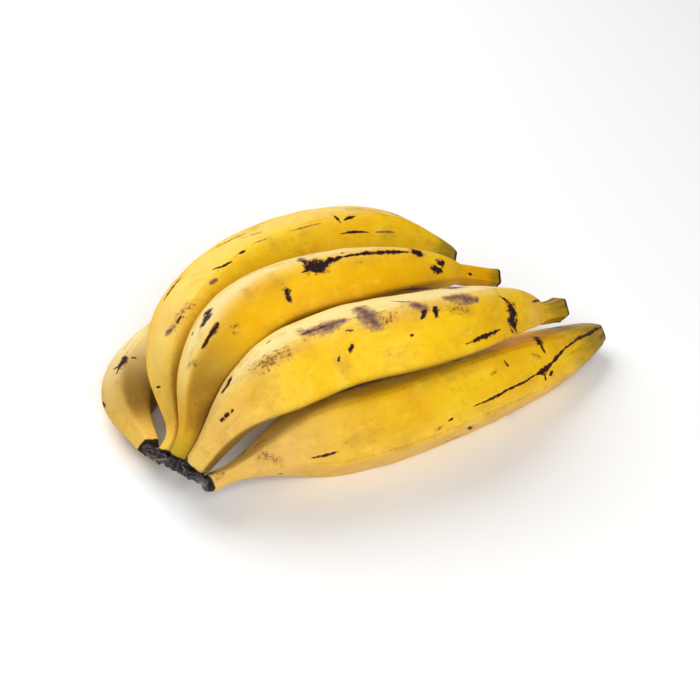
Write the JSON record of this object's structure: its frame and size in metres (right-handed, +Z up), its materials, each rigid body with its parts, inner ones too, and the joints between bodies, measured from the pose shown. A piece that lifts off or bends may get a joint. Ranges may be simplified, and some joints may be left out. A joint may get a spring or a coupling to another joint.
{
  "type": "hand of plantains",
  "caption": "Hand of ripe plantains: curved five-sided fruits with slim stalks and blunt blossom stubs, joined by nature at one dark cut crown and lying hollow side down.",
  "frame": {"origin": "on the table, under the middle of the hand's box", "axes": "+X along the hand from the crown end to the blossom tips, +Y from the front fruit to the back fruit, +Z up from the table"},
  "size_m": [0.3022, 0.2159, 0.1004],
  "materials": {
    "peel": "satin",
    "dried_crown": "matte"
  },
  "bodies": {
    "root": {"plantain_front": "peel", "plantain_upper_front": "peel", "plantain_top": "peel", "plantain_upper_back": "peel", "plantain_back": "peel", "crown": "dried_crown"}
  },
  "joints": []
}
